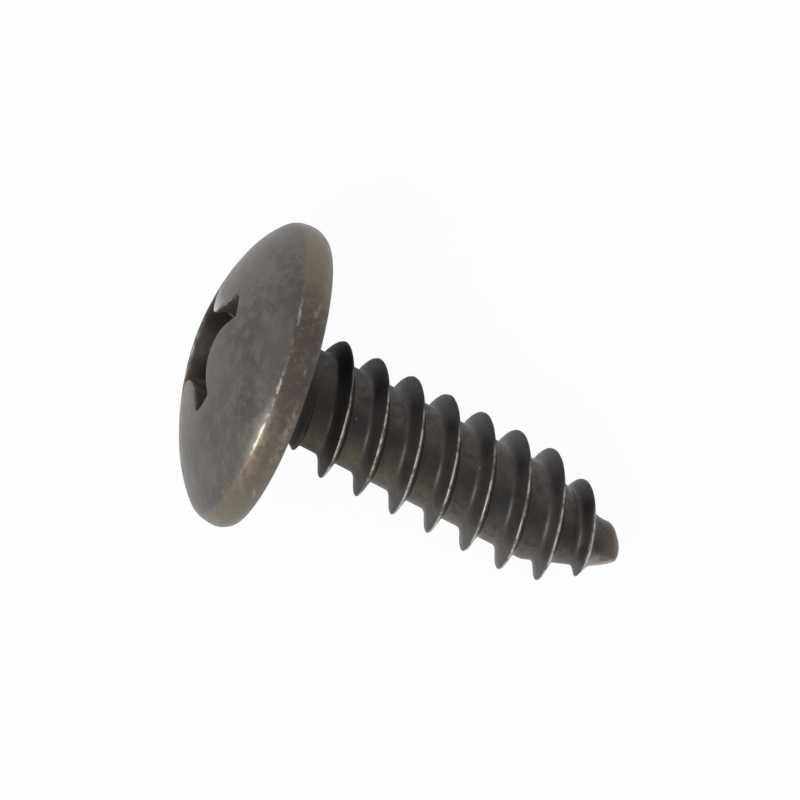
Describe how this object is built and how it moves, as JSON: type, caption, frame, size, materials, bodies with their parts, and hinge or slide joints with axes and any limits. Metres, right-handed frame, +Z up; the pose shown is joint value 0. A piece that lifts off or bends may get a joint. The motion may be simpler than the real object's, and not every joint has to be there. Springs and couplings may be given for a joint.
{
  "type": "sheet metal screw",
  "caption": "Short tapping screw with a wide low domed head, a cross recess and a coarse thread running up to the head, lying on its rim and thread.",
  "frame": {"origin": "centre of the bounding box on the floor that the screw lies on", "axes": "+X from the head to the point, with the screw's axis leaning 13.8 degrees down towards the floor at the point; +Z up"},
  "size_m": [0.0148, 0.0082, 0.008],
  "materials": {
    "steel": "satin dark grey-brown oxide, bare and brighter on the worn rim and thread crests"
  },
  "bodies": {
    "root": {"screw": "steel"}
  },
  "joints": []
}
